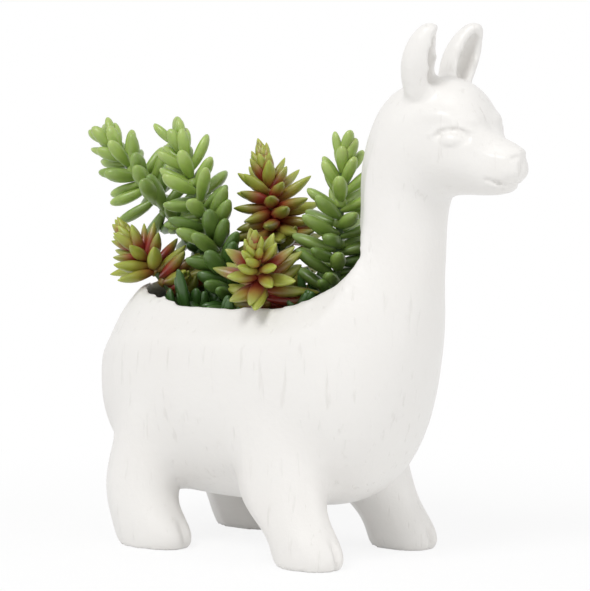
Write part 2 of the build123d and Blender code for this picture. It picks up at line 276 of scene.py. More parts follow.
def attribute_mix(nodes, links, name, first, second, low, high):
    """Colour that turns from first to second as the named attribute goes from low to high."""
    reader = add_node(nodes, "Attribute", attribute_name=name)
    limits = {"From Min": low, "From Max": high}
    span = add_node(nodes, "MapRange", limits, interpolation_type="SMOOTHSTEP")
    mix = add_node(nodes, "Mix", data_type="RGBA")
    links.new(reader.outputs["Fac"], span.inputs["Value"])
    links.new(span.outputs["Result"], mix.inputs["Factor"])
    for label, colour in (("A", first), ("B", second)):
        if isinstance(colour, bpy.types.NodeSocket):
            links.new(colour, mix.inputs[label])
        else:
            mix.inputs[label].default_value = (*colour, 1.0)
    return mix.outputs["Result"]


def glaze_material(settings):
    """Satin white glaze: warm patches, thin vertical wool strokes that dent it, and a fine grain."""
    material, nodes, links, shader = new_material("white_glaze")
    base, patch = (*settings.glaze_colour, 1), (*settings.glaze_shade, 1)
    mottle = place_group(nodes, "mottle", Base=base, Patch=patch, Scale=22.0, Amount=0.55)
    place = add_node(nodes, "TexCoord")
    stretch = add_node(nodes, "Mapping", {"Scale": (420.0, 420.0, 52.0)})
    strokes = add_node(nodes, "TexNoise", {"Scale": 1.0, "Detail": 2.0})
    sparse = add_node(nodes, "MapRange", {"From Min": 0.63, "From Max": 0.74})
    groove_shade_amount = add_node(nodes, "Math", {1: settings.groove_shade_strength}, operation="MULTIPLY")
    # The strokes are also tinted darker: painted shade in their carved grooves, beside the real dent of the
    # bump below.
    painted_groove_shade = add_node(nodes, "Mix", {"B": (*settings.groove_shade_colour, 1)}, data_type="RGBA")
    carve = add_node(nodes, "Math", {1: -1.0}, operation="MULTIPLY_ADD")
    grain = place_group(nodes, "grain", Scale=350.0)
    join(
        links,
        (place.outputs["Object"], stretch.inputs["Vector"]),
        (stretch.outputs["Vector"], strokes.inputs["Vector"]),
        (strokes.outputs["Fac"], sparse.inputs["Value"]),
        (sparse.outputs["Result"], groove_shade_amount.inputs[0]),
        (groove_shade_amount.outputs["Value"], painted_groove_shade.inputs["Factor"]),
        (mottle.outputs["Color"], painted_groove_shade.inputs["A"]),
        (painted_groove_shade.outputs["Result"], shader.inputs["Base Color"]),
        (sparse.outputs["Result"], carve.inputs[0]),
        (grain.outputs["Height"], carve.inputs[2]),
    )
    add_bump(nodes, links, shader, carve.outputs["Value"], 0.35, 0.0004)
    set_inputs(shader, {"Roughness": settings.glaze_roughness, "Coat Weight": 0.12, "Coat Roughness": 0.25})
    return material


def leaf_material(name, young, old, tip, root, edge, settings):
    """Waxy moulded leaf: colour by depth in the plant, where older leaves lower down are darker, partly their
    own colour and partly painted shade; paler tip, blushing root and edge, and soft light inside.
    """
    material, nodes, links, shader = new_material(name)
    body = attribute_mix(nodes, links, "leaf_age", young, old, 0.05, 0.95)
    tipped = attribute_mix(nodes, links, "leaf_along", body, tip, 0.55, 1.25)
    rooted = attribute_mix(nodes, links, "leaf_blush", tipped, root, 0.25, 1.0)
    edged = attribute_mix(nodes, links, "leaf_side", rooted, edge, 0.8, 1.35)
    mottle = place_group(nodes, "mottle", Patch=(*settings.leaf_patch, 1), Scale=260.0, Amount=0.16)
    join(links, (edged, mottle.inputs["Base"]), (mottle.outputs["Color"], shader.inputs["Base Color"]))
    grain = place_group(nodes, "grain", Scale=700.0)
    add_bump(nodes, links, shader, grain.outputs["Height"], 0.12, 0.0003)
    set_inputs(shader, {
        "Roughness": settings.leaf_roughness, "Subsurface Weight": settings.leaf_glow,
        "Subsurface Radius": (0.6, 1.0, 0.25), "Subsurface Scale": 0.003,
        "Coat Weight": 0.25, "Coat Roughness": 0.22,
    })
    return material


def moulded_material(name, colour, patch, roughness, grain_scale, depth):
    """Plain moulded or foamed stuff with patches of a second colour and a pitted grain."""
    material, nodes, links, shader = new_material(name)
    mottle = place_group(nodes, "mottle", Base=(*colour, 1), Patch=(*patch, 1), Scale=240.0, Amount=0.8)
    grain = place_group(nodes, "grain", Scale=grain_scale)
    links.new(mottle.outputs["Color"], shader.inputs["Base Color"])
    add_bump(nodes, links, shader, grain.outputs["Height"], 0.7, depth)
    set_inputs(shader, {"Roughness": roughness})
    return material


GROUP_MAKERS = {"mottle": ("cloudy_mottle", mottle_group), "grain": ("fine_grain", grain_group)}


def shared_group(key):
    """A shader group that several materials use, made the first time it is asked for."""
    name, maker = GROUP_MAKERS[key]
    return bpy.data.node_groups.get(name) or maker()


# Glazed shell


MERGE_DISTANCE = 0.01
CREASE_SHARE = 0.9
RELAX_SHARE = 0.5


def cad_copy(node):
    """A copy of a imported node's mesh with its loose triangles merged."""
    mesh = frame["nodes"][node].data.copy()
    work = bmesh.new()
    work.from_mesh(mesh)
    bmesh.ops.remove_doubles(work, verts=work.verts, dist=MERGE_DISTANCE * MILLIMETRE)
    work.to_mesh(mesh)
    work.free()
    mesh.materials.clear()
    return mesh


def remeshed(mesh, voxel):
    """The mesh built again from cubes of one size, so that its vertices lie evenly."""
    holder = bpy.data.objects.new("remesh_holder", mesh)
    bpy.context.scene.collection.objects.link(holder)
    modifier = holder.modifiers.new("even", "REMESH")
    modifier.mode = "VOXEL"
    modifier.voxel_size = voxel * MILLIMETRE
    modifier.use_smooth_shade = True
    graph = bpy.context.evaluated_depsgraph_get()
    even = bpy.data.meshes.new_from_object(holder.evaluated_get(graph))
    bpy.data.objects.remove(holder)
    return even


def refined(mesh, wanted):
    """The mesh with each edge split in two where the mask wanted holds at both its ends."""
    work = bmesh.new()
    work.from_mesh(mesh)
    work.verts.ensure_lookup_table()
    edges = [edge for edge in work.edges if wanted[edge.verts[0].index] and wanted[edge.verts[1].index]]
    bmesh.ops.subdivide_edges(work, edges=edges, cuts=1, use_grid_fill=True, smooth=0.0)
    work.to_mesh(mesh)
    work.free()
    return mesh


def fitted_to(mesh, other, wanted):
    """The mesh with each vertex that wanted marks moved onto the nearest place of another mesh."""
    holder, target = [bpy.data.objects.new("fit_holder", data) for data in (mesh, other)]
    for item in (holder, target):
        bpy.context.scene.collection.objects.link(item)
    group = holder.vertex_groups.new(name="wanted")
    group.add(np.flatnonzero(wanted).tolist(), 1.0, "REPLACE")
    modifier = holder.modifiers.new("fit", "SHRINKWRAP")
    modifier.target = target
    modifier.vertex_group = group.name
    graph = bpy.context.evaluated_depsgraph_get()
    fitted = bpy.data.meshes.new_from_object(holder.evaluated_get(graph))
    for item in (holder, target):
        bpy.data.objects.remove(item)
    return fitted


class Neighbours:
    """Edges of a mesh as arrays, for averages over each vertex's neighbours."""

    def __init__(self, mesh):
        flat = np.empty(len(mesh.edges) * 2, np.int32)
        mesh.edges.foreach_get("vertices", flat)
        self.first, self.second = flat.reshape(-1, 2).T
        self.size = len(mesh.vertices)
        self.degree = np.bincount(flat, minlength=self.size)[:, None]

    def mean(self, values):
        """Mean of the values at each vertex's neighbours."""
        total = np.empty_like(values)
        for column in range(values.shape[1]):
            total[:, column] = np.bincount(self.first, values[self.second, column], self.size)
            total[:, column] += np.bincount(self.second, values[self.first, column], self.size)
        return total / self.degree


def normals_of(mesh):
    flat = np.empty(len(mesh.vertices) * 3, np.float32)
    mesh.vertex_normals.foreach_get("vector", flat)
    return flat.reshape(-1, 3).astype(float)


def fill_creases(mesh, neighbours, weight, rounds):
    """Moves vertices outwards, towards the mean of their neighbours, where the surface is hollow."""
    points = read_points(mesh)
    for _ in range(rounds):
        normals = normals_of(mesh)
        pull = neighbours.mean(points) - points
        rise = np.clip((pull * normals).sum(1, keepdims=True), 0, None)
        points = points + CREASE_SHARE * weight[:, None] * rise * normals
        write_points(mesh, points)


def relax(mesh, neighbours, weight, rounds):
    """Moves each vertex part of the way to the mean of its neighbours, as far as weight says."""
    points = read_points(mesh)
    for _ in range(rounds):
        points = points + RELAX_SHARE * weight[:, None] * (neighbours.mean(points) - points)
    write_points(mesh, points)


def blob(points, centre, radii):
    """exp(-r^2), where r is the distance from centre in units of the three radii."""
    return np.exp(-((((points - np.array(centre)) / np.array(radii)) ** 2).sum(1)))


def along_path(points, path, width):
    """exp(-(d/width)^2), where d is the distance from a path of straight pieces."""
    nearest = np.full(len(points), np.inf)
    for start, end in zip(path[:-1], path[1:]):
        start, end = np.array(start), np.array(end)
        run = end - start
        share = np.clip((points - start) @ run / (run @ run), 0, 1)
        nearest = np.minimum(nearest, np.linalg.norm(points - start - share[:, None] * run, axis=1))
    return np.exp(-((nearest / width) ** 2))


# Face, for one side: centres and radii of places, and how far the surface moves out there
FACE_BLOBS = (
    ((101.5, 8.5, 175.6), (4.5, 5.0, 2.6), 1.1),
    ((91.0, 15.5, 177.6), (7.5, 4.0, 2.8), 1.0),
    ((104.5, 0.0, 172.5), (3.0, 3.5, 2.5), -0.6),
    ((97.0, 15.0, 157.0), (9.0, 6.0, 6.0), 0.6),
    ((117.4, 2.6, 164.4), (3.0, 3.0, 2.0), 0.1),
    ((117.2, 5.2, 160.4), (1.9, 1.8, 1.2), -0.4),
    ((118.6, 0.0, 158.6), (2.0, 0.9, 2.4), -0.5),
    ((116.2, 3.6, 155.4), (3.6, 3.6, 2.2), 0.6),
    ((113.0, 0.0, 148.6), (3.5, 4.5, 1.8), 0.4),
)
MOUTH_PATH = ((116.6, 0.0, 151.6), (114.9, 2.4, 150.9), (112.4, 5.3, 151.2), (107.4, 8.4, 153.0))
MOUTH_DEPTH = -0.8
MOUTH_WIDTH = 0.9
LID_PATH = ((87.0, 17.2, 169.6), (91.2, 16.8, 172.4), (97.3, 14.9, 172.8), (102.4, 10.4, 171.6))
LID_DEPTH = 0.45
LID_WIDTH = 1.1
# Place (x, y) of each foot of one side, and its size as a share of the front one's
FEET = ((38.9, 30.8, 1.0), (-41.3, 30.8, 0.94))
TOE_REACH = 12.5
TOE_HEIGHT = 6.5
TOE_DEPTH = -2.4
TOE_WIDTH = 1.5
# Heights between which the wool comes in above the feet, and goes out below the head
WOOL_STARTS = (24.0, 40.0)
WOOL_ENDS = (138.0, 150.0)

# Places that are softened, as a centre and three radii
EYE = (96.4, 15.4, 168.3)
EYE_ROOM = (11.0, 6.0, 7.0)
EAR_ROOT = (78.0, 9.0, 186.0)
EAR_ROOT_ROOM = (9.0, 8.0, 4.0)
EYE_EDGE = (0.1, 0.4)
EYE_SHARE = 0.9
EAR_ROOT_SHARE = 0.5
# Heights and x between which the pot's mouth comes in and goes out, and where the ears start
MOUTH_STARTS = (92.0, 98.0)
MOUTH_ENDS = (142.0, 146.0)
MOUTH_FRONT = (60.0, 63.0)
EARS_START = (180.0, 186.0)
RIM_BAND = 3.4
BAND_LEVEL = 0.4
RIM_SPREAD = (0.001, 0.006)
SPREAD_ROUNDS = 5
RIM_LEVEL = 0.2
FITTED_RIM_ROUNDS = 8
# Softening of all the shell above the soles, before and after it is sculpted: share and rounds
BEFORE_SCULPT = (0.8, 3)
AFTER_SCULPT = (0.5, 1)
# Where the faces are made small: the head, the face round FACE_Z, and the toes, whose middles
# are TOES_X before and behind TOES_CENTRE_X
HEAD_X = 66.0
HEAD_Z = 140.0
FACE_X = 84.0
FACE_Z = 163.0
FACE_HALF_HEIGHT = 16.0
TOES_Z = 16.0
TOES_CENTRE_X = 4.5
TOES_X = 46.0
TOES_HALF_LENGTH = 9.0
# Where the small faces are laid onto the solid again: the head, and the front toes
FITTED_HEAD_Z = 142.0
FITTED_TOES_X = 46.0
FITTED_TOES_Z = 15.0
# Heights between which the filling of creases comes in and goes out, and the sculpting comes in
LEGS_START = (3.0, 9.0)
LEGS_END = (62.0, 76.0)
SOLE = (0.3, 2.0)


def mirrored(points):
    """The points with those of one side laid onto the other side, where y is positive."""
    return points * np.array([1.0, 0.0, 1.0]) + np.abs(points) * np.array([0.0, 1.0, 0.0])


def wool_waves(points):
    """Product of two sines across the body, swelling and fading along a third, slanted one."""
    x, y, z = points.T
    waves = np.sin(0.9 * x + 0.07 * z) * np.sin(0.83 * y + 0.05 * z + 1.3)
    waves *= 0.5 + 0.5 * np.sin(0.16 * z + 0.31 * x + 0.27 * y)
    return waves * smoothstep(*WOOL_STARTS, z) * (1 - smoothstep(*WOOL_ENDS, z))


def sculpt_moves(points, settings):
    """How far each point moves along its normal: face, toes and soft swellings of the wool."""
    folded = mirrored(points)
    move = np.zeros(len(points))
    for centre, radii, amount in FACE_BLOBS:
        move += amount * blob(folded, centre, radii)
    move += MOUTH_DEPTH * along_path(folded, MOUTH_PATH, MOUTH_WIDTH)
    move += LID_DEPTH * along_path(folded, LID_PATH, LID_WIDTH)
    x, y, z = folded.T
    for foot_x, foot_y, size in FEET:
        ahead = smoothstep(foot_x + TOE_REACH * 0.35 * size, foot_x + TOE_REACH * size, x)
        near = 1 - smoothstep(foot_x + 2 * TOE_REACH, foot_x + 2.2 * TOE_REACH, x)
        low = 1 - smoothstep(TOE_HEIGHT, 2.2 * TOE_HEIGHT, z)
        cleft = np.exp(-(((y - foot_y) / TOE_WIDTH) ** 2))
        move += TOE_DEPTH * ahead * near * low * cleft
    return move + settings.wool_height * wool_waves(points)


def rim_weight(mesh, neighbours):
    """1 on the sharp rims of the ears and of the pot's mouth, where the normals nearby differ.

    The mouth's rims also count within a band on each side of the mouth's outline in plan.
    """
    spread = 1 - np.linalg.norm(neighbours.mean(normals_of(mesh)), axis=1, keepdims=True)
    for _ in range(SPREAD_ROUNDS):
        spread = neighbours.mean(spread)
    sharp = smoothstep(*RIM_SPREAD, spread[:, 0])
    x, y, z = read_points(mesh).T
    height = smoothstep(*MOUTH_STARTS, z) * (1 - smoothstep(*MOUTH_ENDS, z))
    outline = np.column_stack([MOUTH, np.zeros(len(MOUTH))])
    in_plan = np.column_stack([x, np.abs(y), 0 * z])
    in_band = along_path(in_plan, outline, RIM_BAND) > BAND_LEVEL
    mouth = np.maximum(sharp, in_band) * height * (1 - smoothstep(*MOUTH_FRONT, x))
    return mouth + sharp * smoothstep(*EARS_START, z)


def fine_shell(settings):
    """Mesh of the shell with small faces at head, toes and rims, and the weight of its rims."""
    mesh = remeshed(cad_copy("ceramic_body"), settings.voxel)
    x, _, z = read_points(mesh).T
    toes = (z < TOES_Z) & (np.abs(np.abs(x - TOES_CENTRE_X) - TOES_X) < TOES_HALF_LENGTH)
    head = (x > HEAD_X) & (z > HEAD_Z)
    mesh = refined(mesh, head | toes | (rim_weight(mesh, Neighbours(mesh)) > RIM_LEVEL))
    x, _, z = read_points(mesh).T
    mesh = refined(mesh, (x > FACE_X) & (np.abs(z - FACE_Z) < FACE_HALF_HEIGHT))
    x, _, z = read_points(mesh).T
    neighbours = Neighbours(mesh)
    rims = rim_weight(mesh, neighbours)
    relax(mesh, neighbours, rims, settings.rim_rounds)
    head = (x > HEAD_X) & (z > FITTED_HEAD_Z)
    toes = (x > FITTED_TOES_X) & (z < FITTED_TOES_Z)
    return fitted_to(mesh, cad_copy("ceramic_body"), head | toes), rims


def make_shell(settings):
    mesh, rims = fine_shell(settings)
    neighbours = Neighbours(mesh)
    points = read_points(mesh)
    legs = smoothstep(*LEGS_START, points[:, 2]) * (1 - smoothstep(*LEGS_END, points[:, 2]))
    folded = mirrored(points)
    eyes = smoothstep(*EYE_EDGE, blob(folded, EYE, EYE_ROOM))
    creases = np.maximum(legs, EAR_ROOT_SHARE * blob(folded, EAR_ROOT, EAR_ROOT_ROOM))
    fill_creases(mesh, neighbours, creases, settings.crease_rounds)
    relax(mesh, neighbours, rims, FITTED_RIM_ROUNDS)
    relax(mesh, neighbours, EYE_SHARE * eyes, settings.eye_rounds)
    off_sole = smoothstep(*SOLE, read_points(mesh)[:, 2])
    amount, rounds = BEFORE_SCULPT
    relax(mesh, neighbours, amount * off_sole, rounds)
    points = read_points(mesh)
    move = sculpt_moves(points, settings) * off_sole
    write_points(mesh, points + move[:, None] * normals_of(mesh))
    amount, rounds = AFTER_SCULPT
    relax(mesh, neighbours, amount * off_sole, rounds)
    piece = add_object("glazed_llama", mesh, glaze_material(settings))
    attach(piece, "planter")
    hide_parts("ceramic_body")


# Plants


def stems():
    """Foot on the foam, direction and height above it of each stem, from its joint and box."""
    found = {}
    for joint in frame["joints"]:
        if not joint["name"].endswith(PULL_SUFFIX):
            continue
        plant = joint["name"][: -len(PULL_SUFFIX)]
        run = unit(np.array(joint["axis"], float))
        low, high = [from_frame(np.array(corner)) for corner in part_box(plant + "_stem")]
        length = (high[2] - low[2] - 2 * STEM_RADIUS * math.sqrt(1 - run[2] ** 2)) / run[2]
        end = (low + high) / 2 + run * length / 2
        rise = (end[2] - FOAM_TOP) / run[2]
        found[plant] = (end - run * rise, run, rise)
    return found


def trunk_room(points, room):
    """Whether each point lies outside the trunk by room, from its section at the point's x."""
    x, y, z = points.T
    centre, depth, width = [np.interp(x, TRUNK_SECTIONS[:, 0], TRUNK_SECTIONS[:, k]) for k in (1, 2, 3)]
    behind = np.clip((TRUNK_SECTIONS[0, 0] - x) / (RUMP_REACH + room), 0, 0.999)
    shrink = np.sqrt(1 - behind**2)
    centre = centre - RUMP_DROP * behind**2
    return np.hypot((z - centre) / (depth * shrink + room), y / (width * shrink + room)) > 1


def clears_shell(points, room):
    """Whether a ball of radius room at each point keeps off the trunk, the lip and the neck."""
    x, y = points[:, 0], points[:, 1]
    off_neck = np.hypot(x - NECK_CENTRE_X, y) > NECK_RADIUS + room
    beside = [np.interp(x + side * room, MOUTH[:, 0], MOUTH[:, 1], 0, 0) - room for side in (1, -1)]
    return off_neck & (trunk_room(points, room) | (np.abs(y) < np.minimum(*beside)))


def off_stem(points, stem):
    """Distance of each point from the line of a stem, between its lower end and its tip."""
    foot, run, rise = stem
    along = np.clip((points - foot) @ run, -INSERTION, rise)
    return np.linalg.norm(points - foot - along[..., None] * run, axis=-1)


UP = np.array([0.0, 0.0, 1.0])
LEAF_ALONG = 9
LEAF_AROUND = 8
AROUND_TURNS = np.linspace(0, 2 * math.pi, LEAF_AROUND, endpoint=False)
LEAF_LAYERS = ("leaf_along", "leaf_age", "leaf_blush", "leaf_side")
# Belly, bluntness and taper of a leaf's outline, and its share of the width at the root
POINTED = (0.52, 1.5, 0.72)
ROUNDED = (0.6, 2.1, 0.5)
ROOT_SHARE = 0.34
GOLDEN_ANGLE = math.pi * (3 - math.sqrt(5))
# How far the tilts (degrees), turns (radians), lengths and widths of leaves stray by chance
TILT_SPREAD = 9
TURN_SPREAD = 0.2
LENGTH_SPREAD = (0.84, 1.12)
WIDTH_SPREAD = (0.88, 1.1)
# Leaves on the bare part of a stalk lie closer to it by these degrees, and are shorter by a share
BARE_TILT = 30
BARE_SHORTER = 0.2
PLANT_SEED = 11
LOW_SEED = 5
# Length of stem without leaves above the foam
BARE_FOOT = 5.0
# Low leaves: how many, how far out on the foam as a share of its half sizes, tilts and sizes
LOW_COUNT = 200
LOW_REACH = 0.94
LOW_TILTS = (4, 50)
LOW_LENGTHS = (20, 38)
LOW_WIDTHS = (5.6, 8.0)
# Tilts are in degrees, and each pair goes from the tip of a plant to its full depth
# At the old depth a leaf takes its darkest colour, which is partly older colour and partly painted shade.
GREEN_STYLE = {
    "tilts": (26, 76), "lengths": (13.0, 20.0), "widths": (5.4, 7.0), "spacing": 8.2, "step": 1.3,
    "full_depth": 32.0, "old_depth": 85.0, "bare_depth": 200.0, "bare_step": 4.0, "bend": 0.08,
    "blush": 0.0, "pointed": False,
}
RED_STYLE = {
    "tilts": (10, 108), "lengths": (9.5, 21.0), "widths": (4.4, 7.2), "spacing": 5.9, "step": 0.55,
    "full_depth": 27.0, "old_depth": 50.0, "bare_depth": 33.0, "bare_step": 2.0, "bend": 0.10,
    "blush": 1.0, "pointed": True,
}
# Places along a leaf and half widths there, as shares, for the balls that stand for it
PROBES = np.array([(0.14, 0.26), (0.3, 0.4), (0.46, 0.46), (0.62, 0.46), (0.78, 0.38), (0.96, 0.14)])
PULLS = (0.0, 4.0, 9.0, 16.0, 27.0)
LOW_LEAVES = "low_leaves"
# Other turns and tilts, in radians, that a leaf may take where its own is not free
SWERVES = ((0.0, 0.0), (0.4, 0.0), (-0.4, 0.0), (0.0, -0.35), (0.8, -0.1), (-0.8, -0.1), (0.0, 0.3))
# Pairs of draws, of a leaf's own plant and of another, at which the two keep clear
DRAWS = ((0, 0), (9, 0), (18, 0), (27, 0), (0, 9), (0, 18), (0, 27), (27, 27))
LEAF_GAP = 0.45
# Distance beyond which two leaves don't meet in any pair of draws
FAR_LEAF = 72.0
SIZE_SHARES = (1.0, 0.9, 0.8, 0.7, 0.6, 0.5, 0.42)


class Foliage:
    """Balls of the leaves placed so far, that each new leaf of another plant keeps clear of."""

    def __init__(self, all_stems):
        self.stems = all_stems
        self.runs = {plant: stem[1] for plant, stem in all_stems.items()} | {LOW_LEAVES: np.zeros(3)}
        self.balls = {plant: [np.empty((0, 4))] for plant in self.runs}

    def clear_of_pot(self, places, room, run):
        above = (places[:, 2] - room > FOAM_TOP - 2).all()
        return above and all(clears_shell(places + run * pull, room).all() for pull in PULLS)

    def clear_of_plants(self, plant, places, room):
        pulled = places + self.runs[plant] * np.array(PULLS)[:, None, None]
        for other, run in self.runs.items():
            if other == plant:
                continue
            if other in self.stems and (off_stem(pulled, self.stems[other]) < room + COLLAR_RADIUS).any():
                return False
            balls = np.concatenate(self.balls[other])
            near = np.linalg.norm(balls[:, :3] - places.mean(0), axis=1) < FAR_LEAF
            balls = balls[near][:, None]
            for own_draw, other_draw in DRAWS:
                apart = places + own_draw * self.runs[plant] - balls[..., :3] - other_draw * run
                if ((apart**2).sum(-1) < (room + balls[..., 3]) ** 2).any():
                    return False
        return True

    def fit(self, plant, root, headings, length, width):
        """Largest share of a leaf's size that fits along one of its headings, and which one."""
        lift = self.runs[plant] if plant in self.stems else UP
        for share in SIZE_SHARES:
            for choice, heading in enumerate(headings):
                places = root + heading * (PROBES[:, :1] * length * share)
                room = PROBES[:, 1] * width * math.sqrt(share) + LEAF_GAP
                if self.clear_of_pot(places, room, lift) and self.clear_of_plants(plant, places, room):
                    self.balls[plant].append(np.column_stack([places, room]))
                    return share, choice
        return 0.0, 0


def side_frame(run):
    """Two directions square to a stem, the first one as level as it can be."""
    across = unit(np.cross(run, UP) if abs(run[2]) < 0.999 else np.array([1.0, 0.0, 0.0]))
    return across, np.cross(run, across)


def leaf_grid(roots, headings, uppers, lengths, widths, bends, pointed):
    """Plump leaves as grids of (leaf, along, around) points, and the two poles of each.

    With u from 0 at the root to 1 at the tip, the half width is
    w(u) = W/2 * (root + (1 - root) * sin(pi/2 * u/b)^0.9) up to the belly b, and beyond it
    W/2 * (1 - ((u - b)/(1 - b))^n)^m, where n and m make a round or a pointed tip. The section
    is an ellipse flattened on its upper side, and the middle line bends up by bend * L * u^2.
    """
    belly, blunt, taper = POINTED if pointed else ROUNDED
    u = (1 - np.cos(np.linspace(0, math.pi, LEAF_ALONG + 2)[1:-1])) / 2
    grow = ROOT_SHARE + (1 - ROOT_SHARE) * np.sin(math.pi / 2 * np.clip(u / belly, 0, 1)) ** 0.9
    close = np.clip(1 - (np.clip(u - belly, 0, None) / (1 - belly)) ** blunt, 0, 1) ** taper
    half = grow * close
    v = AROUND_TURNS
    thick = np.where(np.sin(v) > 0, 0.62, 0.82)
    sides = np.cross(headings, uppers)
    middle = (
        roots[:, None, :]
        + headings[:, None, :] * (u[None, :, None] * lengths[:, None, None])
        + uppers[:, None, :] * (bends * lengths)[:, None, None] * (u**2)[None, :, None]
    )
    radius = half[None, :, None, None] * (widths / 2)[:, None, None, None]
    around = (
        sides[:, None, None, :] * np.cos(v)[None, None, :, None]
        + uppers[:, None, None, :] * (thick * np.sin(v))[None, None, :, None]
    )
    grid = middle[:, :, None, :] + radius * around
    tips = roots + headings * lengths[:, None] + uppers * (bends * lengths)[:, None]
    count = len(roots)
    points = np.concatenate([grid.reshape(count, -1, 3), roots[:, None], tips[:, None]], axis=1)
    along = np.concatenate([np.repeat(u, LEAF_AROUND), [0.0, 1.0]])
    return points, np.repeat(along[None], count, 0)


def collar_grid(foot, run, height):
    """A turned sleeve round the stem as one closed tube: radius bulges as sin over its height."""
    across, over = side_frame(run)
    t = np.linspace(0, math.pi, LEAF_ALONG)
    rings = height + COLLAR_HEIGHT / 2 * -np.cos(t)
    bore = STEM_RADIUS + COLLAR_PLAY
    radii = bore + (COLLAR_RADIUS - bore) * np.sin(t) ** 0.6
    circle = across * np.cos(AROUND_TURNS)[:, None] + over * np.sin(AROUND_TURNS)[:, None]
    grid = foot + run * rings[:, None, None] + circle[None] * radii[:, None, None]
    ends = foot + run * np.array([height - COLLAR_HEIGHT / 2, height + COLLAR_HEIGHT / 2])[:, None]
    return np.concatenate([grid.reshape(-1, 3), ends])


def leaf_plan(stem, style, depths, random):
    """Roots, headings, upper sides, lengths and widths of a plant's leaves, and how bare they sit.

    Leaf k turns by the golden angle from the last one. depth is its distance below the stem's
    tip, and its tilt, length and width run from a style's first value to its second as the
    depth goes from 0 to the style's full depth.
    """
    foot, run, rise = stem
    count = len(depths)
    share = smoothstep(0, style["full_depth"], depths)
    ranges = [style[key] for key in ("tilts", "lengths", "widths")]
    tilt, length, width = [first + share * (second - first) for first, second in ranges]
    bare = smoothstep(style["bare_depth"], style["bare_depth"] + 4, depths)
    tilt = np.radians(tilt + random.uniform(-TILT_SPREAD, TILT_SPREAD, count) - BARE_TILT * bare)
    length = length * random.uniform(*LENGTH_SPREAD, count) * (1 - BARE_SHORTER * bare)
    width = width * random.uniform(*WIDTH_SPREAD, count)
    turns = GOLDEN_ANGLE * np.arange(count) + random.uniform(-TURN_SPREAD, TURN_SPREAD, count)
    roots = foot + run * (rise - depths)[:, None]
    return roots, *swerved(side_frame(run), run, turns, tilt), length, width, bare


def swerved(sides, run, turns, tilts):
    """Headings and upper sides of leaves at turns about run and tilts from it, for each swerve."""
    across, over = sides
    swerves = np.array(SWERVES)
    turns = turns[:, None, None] + swerves[:, :1]
    tilts = tilts[:, None, None] + swerves[:, 1:]
    rays = across * np.cos(turns) + over * np.sin(turns)
    return run * np.cos(tilts) + rays * np.sin(tilts), run * np.sin(tilts) - rays * np.cos(tilts)


def leaf_depths(stem, style):
    """Distances of a plant's leaves below its tip: close in the head, and sparse on its stalk."""
    end = stem[2] - BARE_FOOT
    dense = np.arange(0.4, min(style["bare_depth"], end), style["step"])
    return np.concatenate([dense, np.arange(style["bare_depth"], end, style["bare_step"])])


def low_plan(random):
    """Leaves that stand on the foam among the stems, in the same form as a plant's plan; their dark colour is
    partly painted shade.
    """
    reach = np.sqrt(random.uniform(0, 1, LOW_COUNT)) * LOW_REACH
    angle = random.uniform(0, 2 * math.pi, LOW_COUNT)
    half = (FOAM_BOX[1] - FOAM_BOX[0])[:2] / 2
    x = FOAM_CENTRE_X + half[0] * reach * np.cos(angle)
    y = half[1] * reach * np.sin(angle)
    roots = np.column_stack([x, y, np.full(LOW_COUNT, FOAM_TOP)])
    turns = random.uniform(0, 2 * math.pi, LOW_COUNT)
    tilts = np.radians(random.uniform(*LOW_TILTS, LOW_COUNT))
    length = random.uniform(*LOW_LENGTHS, LOW_COUNT)
    width = random.uniform(*LOW_WIDTHS, LOW_COUNT)
    return roots, *swerved(side_frame(UP), UP, turns, tilts), length, width, np.zeros(LOW_COUNT)


@functools.lru_cache(maxsize=1)
def planted():
    """Each plant's leaves, fitted from the tips down so that all the plants share the room."""
    all_stems = stems()
    foliage = Foliage(all_stems)
    plans = {}
    for seed, (plant, stem) in enumerate(sorted(all_stems.items())):
        style = GREEN_STYLE if plant.endswith("green") else RED_STYLE
        random = np.random.default_rng(seed + PLANT_SEED)
        depths = leaf_depths(stem, style)
        plans[plant] = {
            "stem": stem, "style": style, "depths": depths, "random": random,
            "leaves": leaf_plan(stem, style, depths, random),
        }
    random = np.random.default_rng(LOW_SEED)
    # A depth far below any tip makes the low leaves fully old and dark: painted shade among the stems.
    plans[LOW_LEAVES] = {
        "style": GREEN_STYLE, "depths": np.full(LOW_COUNT, 1e3), "random": random, "leaves": low_plan(random),
    }
    for plan in plans.values():
        plan["shares"] = np.zeros(len(plan["depths"]))
        plan["choices"] = np.zeros(len(plan["depths"]), int)
    order = [(depth, plant, k) for plant in plans for k, depth in enumerate(plans[plant]["depths"])]
    for _, plant, k in sorted(order):
        plan = plans[plant]
        roots, headings, _, length, width, _ = [values[k] for values in plan["leaves"]]
        plan["shares"][k], plan["choices"][k] = foliage.fit(plant, roots, headings, length, width)
    return plans


def fitted_leaves(plan, keep):
    """Grids of the leaves in keep, and their place along, darkness with depth (older colour and painted
    shade), blush and side as arrays.
    """
    style, random = plan["style"], plan["random"]
    keep = keep & (plan["shares"] > 0)
    roots, headings, uppers, length, width, bare = [values[keep] for values in plan["leaves"]]
    picked = np.arange(len(roots)), plan["choices"][keep]
    shares = plan["shares"][keep]
    points, along = leaf_grid(
        roots, headings[picked], uppers[picked], length * shares, width * np.sqrt(shares),
        random.uniform(0.3, 1.1, len(roots)) * style["bend"], style["pointed"],
    )
    tones = random.uniform(0, 1, (len(roots), 1))
    # Leaves darken with depth below the tip: partly the older leaves' own colour, partly painted shade low in
    # the plants.
    age_and_shade_shares = np.minimum(plan["depths"][keep] / style["old_depth"], 1)[:, None]
    age_and_shade = np.clip(age_and_shade_shares + 0.3 * (tones - 0.5), 0, 1) + 0 * along
    sides = np.concatenate([np.tile(np.abs(np.cos(AROUND_TURNS)), LEAF_ALONG), [0.0, 1.0]])
    blush = style["blush"] * (1.15 - along) * (0.6 + 0.8 * tones) * (1 - bare)[:, None]
    fresh = 1 - 0.75 * age_and_shade
    return points, (along * fresh, age_and_shade, blush, sides * fresh)


